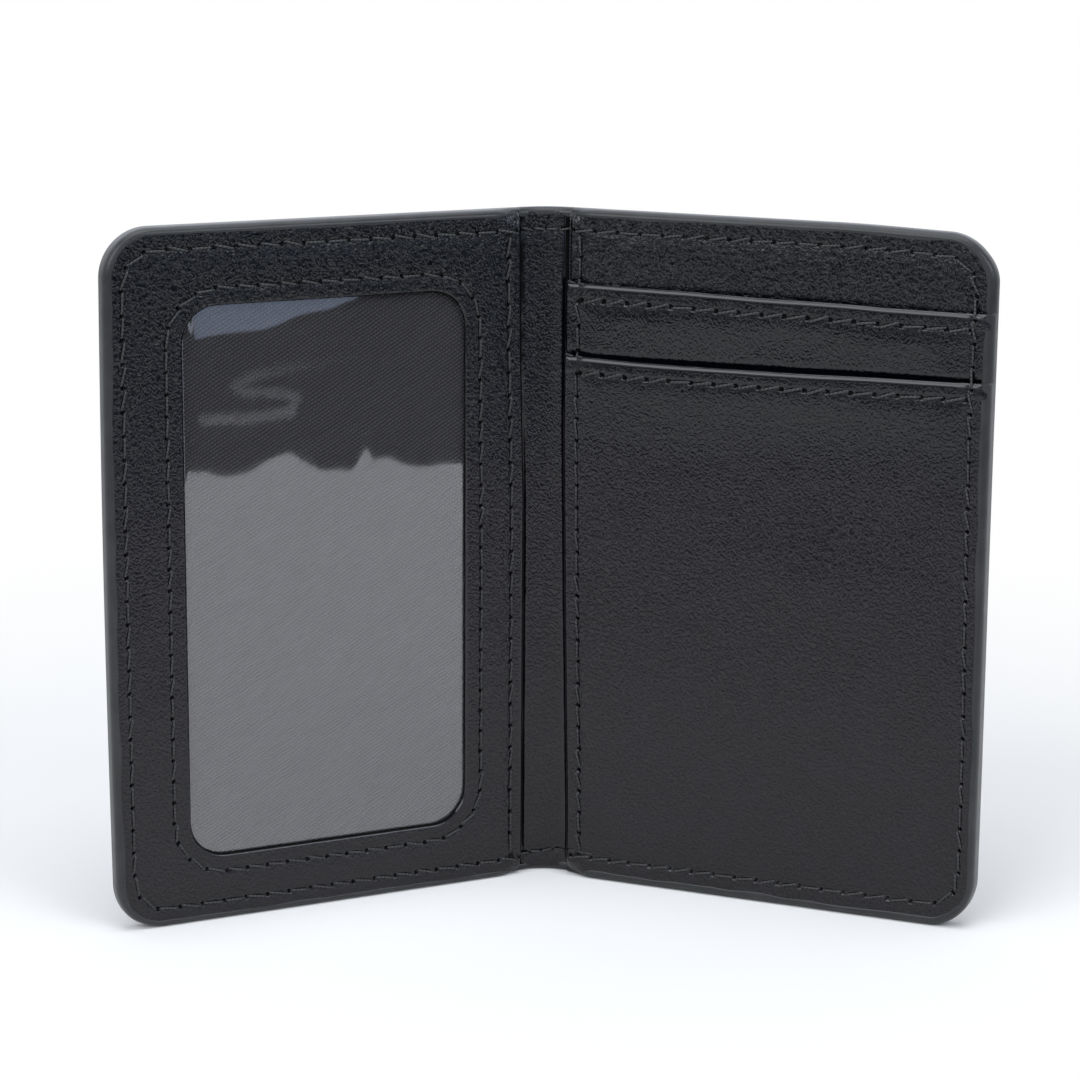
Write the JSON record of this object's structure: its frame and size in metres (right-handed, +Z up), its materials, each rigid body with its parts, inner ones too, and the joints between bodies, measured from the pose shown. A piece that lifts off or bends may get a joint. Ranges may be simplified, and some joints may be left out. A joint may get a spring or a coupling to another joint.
{
  "type": "bifold card wallet",
  "caption": "Slim black leather bifold card wallet with a clear identity window in one leaf and stepped card pockets in the other, standing open.",
  "frame": {"origin": "centre of the wallet's box, on the surface it stands on, at its pictured opening", "axes": "+Z up along the spine, +X to the leaf with the card pockets, and the wallet opens towards -Y with its spine at +Y"},
  "size_m": [0.1294, 0.0311, 0.105],
  "materials": {
    "leather": "satin",
    "edge_paint": "satin",
    "thread": "satin",
    "lining": "matte",
    "board": "matte",
    "film": "gloss"
  },
  "bodies": {
    "spine": {"spine_cover": "leather", "spine_strip": "leather", "spine_head_paint": "edge_paint", "spine_foot_paint": "edge_paint", "spine_head_inside_stitch": "thread", "spine_foot_inside_stitch": "thread", "spine_head_outside_stitch": "thread", "spine_foot_outside_stitch": "thread"},
    "left_leaf": {"left_cover": "leather", "left_board": "board", "left_lining": "lining", "window_film": "film", "window_panel": "leather", "left_edge_paint": "edge_paint", "window_stitch": "thread", "left_perimeter_stitch": "thread", "window_panel_edge_stitch": "thread", "left_outside_stitch": "thread"},
    "right_leaf": {"right_cover": "leather", "right_board": "board", "right_lining": "lining", "pocket_back_panel": "leather", "upper_card_pocket": "leather", "lower_card_pocket": "leather", "right_edge_paint": "edge_paint", "right_perimeter_stitch": "thread", "pocket_edge_stitch": "thread", "upper_mouth_stitch": "thread", "lower_mouth_stitch": "thread", "upper_mouth_tack": "thread", "lower_mouth_tack": "thread", "foot_backstitch": "thread", "right_outside_stitch": "thread"}
  },
  "joints": [
    {"name": "left_fold", "type": "hinge", "parent": "spine", "child": "left_leaf", "pos_m": [-0.0034, 0.01408, 0.0525], "axis": [0, 0, 1], "range_deg": [-23.7, 66.3]},
    {"name": "right_fold", "type": "hinge", "parent": "spine", "child": "right_leaf", "pos_m": [0.0034, 0.01408, 0.0525], "axis": [0, 0, -1], "range_deg": [-23.7, 66.3]}
  ]
}
